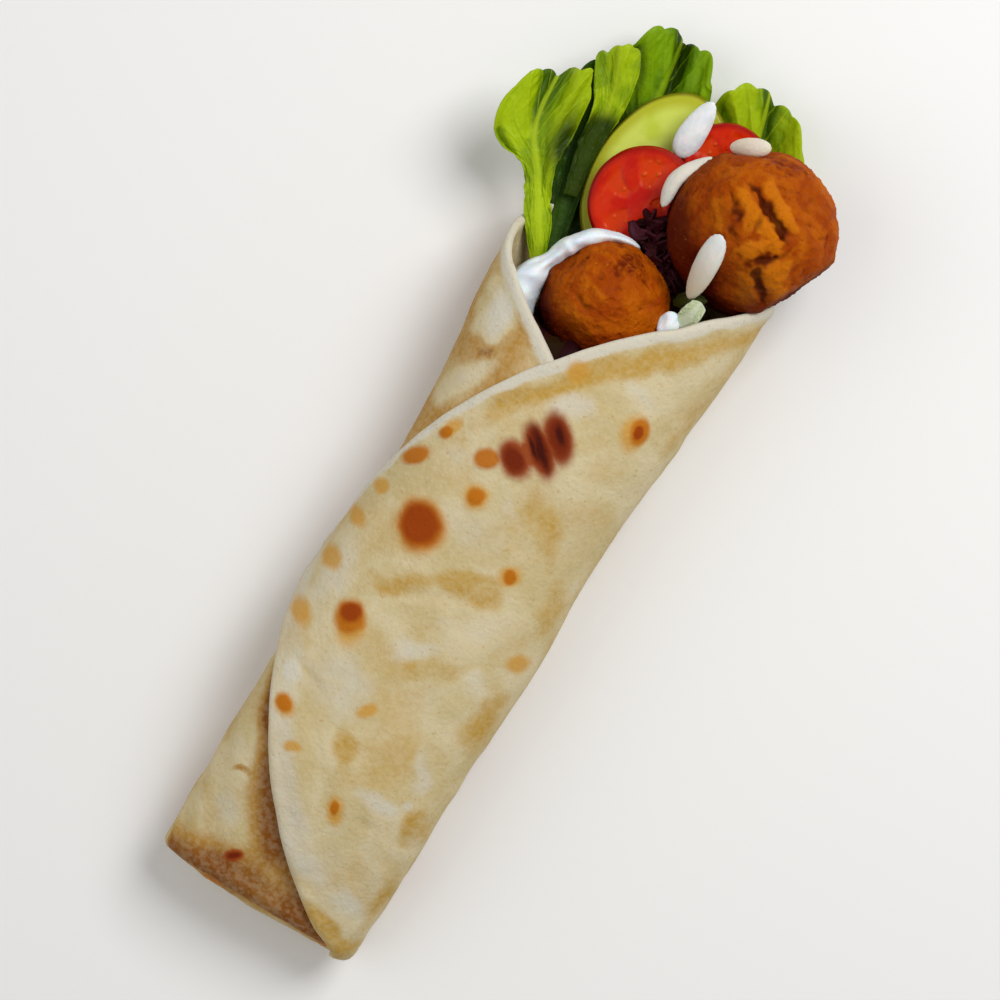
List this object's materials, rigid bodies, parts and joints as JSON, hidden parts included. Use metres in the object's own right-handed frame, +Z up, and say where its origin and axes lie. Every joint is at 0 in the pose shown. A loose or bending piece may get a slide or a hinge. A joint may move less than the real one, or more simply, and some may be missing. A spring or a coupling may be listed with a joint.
{
  "type": "falafel wrap",
  "caption": "Rolled flatbread wrap, folded shut at one end and open at the other, where falafels, salad, onion and white sauce show.",
  "frame": {"origin": "on the flat underside, below the long axis and halfway along the bread", "axes": "+Y along the roll from the folded foot to the open mouth, +Z up through the side that shows, +X to the right"},
  "size_m": [0.1023, 0.2754, 0.0545],
  "materials": {
    "flatbread": "matt baked flatbread with brown griddle spots",
    "filling": "moist chopped salad coated with sauce",
    "falafel": "rough fried crust, slightly oily",
    "tomato": "wet cut flesh",
    "cucumber": "wet cut flesh with a thin skin",
    "onion": "smooth and moist",
    "pale_leaf": "thin crisp leaf",
    "lettuce": "thin ruffled leaf, slightly waxy",
    "red_cabbage": "shredded, moist",
    "sauce": "thick white sauce, glossy"
  },
  "bodies": {
    "root": {"flatbread": "flatbread", "filling": "filling", "falafel_left": "falafel", "falafel_right": "falafel", "tomato_front": "tomato", "tomato_back": "tomato", "cucumber_slice": "cucumber", "onion_petal": "onion", "onion_top": "onion", "onion_side": "onion", "onion_sliver": "onion", "pale_green": "pale_leaf", "lettuce_left": "lettuce", "lettuce_curl": "lettuce", "lettuce_right": "lettuce", "lettuce_back": "lettuce", "red_cabbage": "red_cabbage", "sauce": "sauce"}
  },
  "joints": []
}
